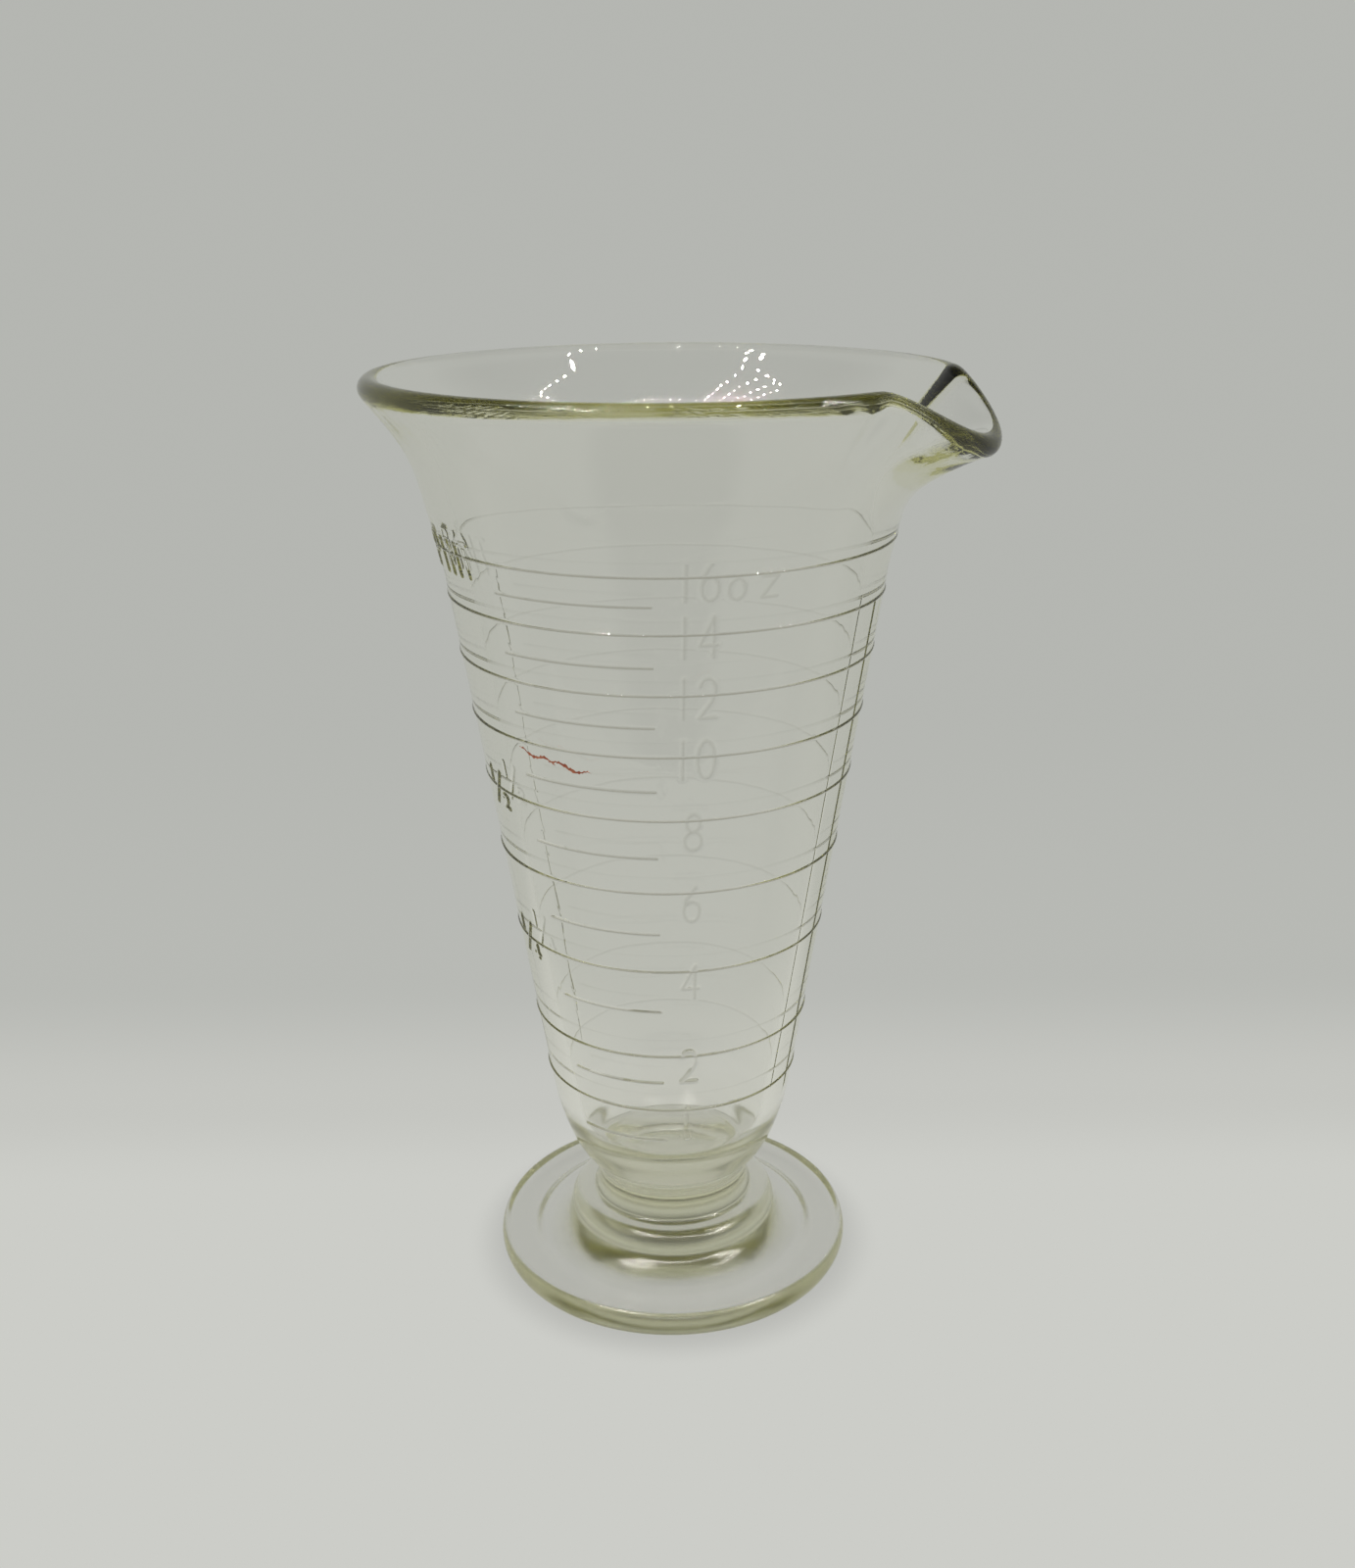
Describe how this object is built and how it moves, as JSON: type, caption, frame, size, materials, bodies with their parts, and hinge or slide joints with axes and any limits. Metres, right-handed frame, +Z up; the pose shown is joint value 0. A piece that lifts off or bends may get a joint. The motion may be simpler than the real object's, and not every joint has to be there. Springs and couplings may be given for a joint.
{
  "type": "footed conical glass measure",
  "caption": "Footed conical glass measure with a flared mouth, a pouring spout, a rounded collar, a round foot, and raised rings, short lines and numerals for reading volume.",
  "frame": {"origin": "centre of the ring under the foot that the measure stands on", "axes": "+Z up along the axis of the cup, +X towards the pouring spout, +Y to the left of the spout seen from inside the cup looking out"},
  "size_m": [0.1312, 0.1236, 0.206],
  "materials": {
    "pressed_glass": "clear pressed soda-lime glass with a slight yellow-green tint, fire-polished",
    "raised_marks": "the same clear glass, standing about 0.3 mm proud of the wall, with rounded edges"
  },
  "bodies": {
    "root": {"foot_rest_ring": "pressed_glass", "foot_disc": "pressed_glass", "collar": "pressed_glass", "waist": "pressed_glass", "cup_bottom": "pressed_glass", "cup_wall": "pressed_glass", "flared_lip": "pressed_glass", "rim_bead": "pressed_glass", "pouring_spout": "pressed_glass", "ounce_ring_01": "raised_marks", "ounce_ring_02": "raised_marks", "ounce_ring_04": "raised_marks", "ounce_ring_06": "raised_marks", "ounce_ring_08": "raised_marks", "ounce_ring_10": "raised_marks", "ounce_ring_12": "raised_marks", "ounce_ring_14": "raised_marks", "ounce_ring_16": "raised_marks", "short_line_005": "raised_marks", "short_line_015": "raised_marks", "short_line_030": "raised_marks", "short_line_050": "raised_marks", "short_line_070": "raised_marks", "short_line_090": "raised_marks", "short_line_110": "raised_marks", "short_line_130": "raised_marks", "short_line_150": "raised_marks", "numeral_01": "raised_marks", "numeral_02": "raised_marks", "numeral_04": "raised_marks", "numeral_06": "raised_marks", "numeral_08": "raised_marks", "numeral_10": "raised_marks", "numeral_12": "raised_marks", "numeral_14": "raised_marks", "numeral_16": "raised_marks", "ounce_letters": "raised_marks", "pint_letters": "raised_marks", "half_pint_mark": "raised_marks", "quarter_pint_mark": "raised_marks", "mould_seam_spout_side": "raised_marks", "mould_seam_far_side": "raised_marks"}
  },
  "joints": []
}
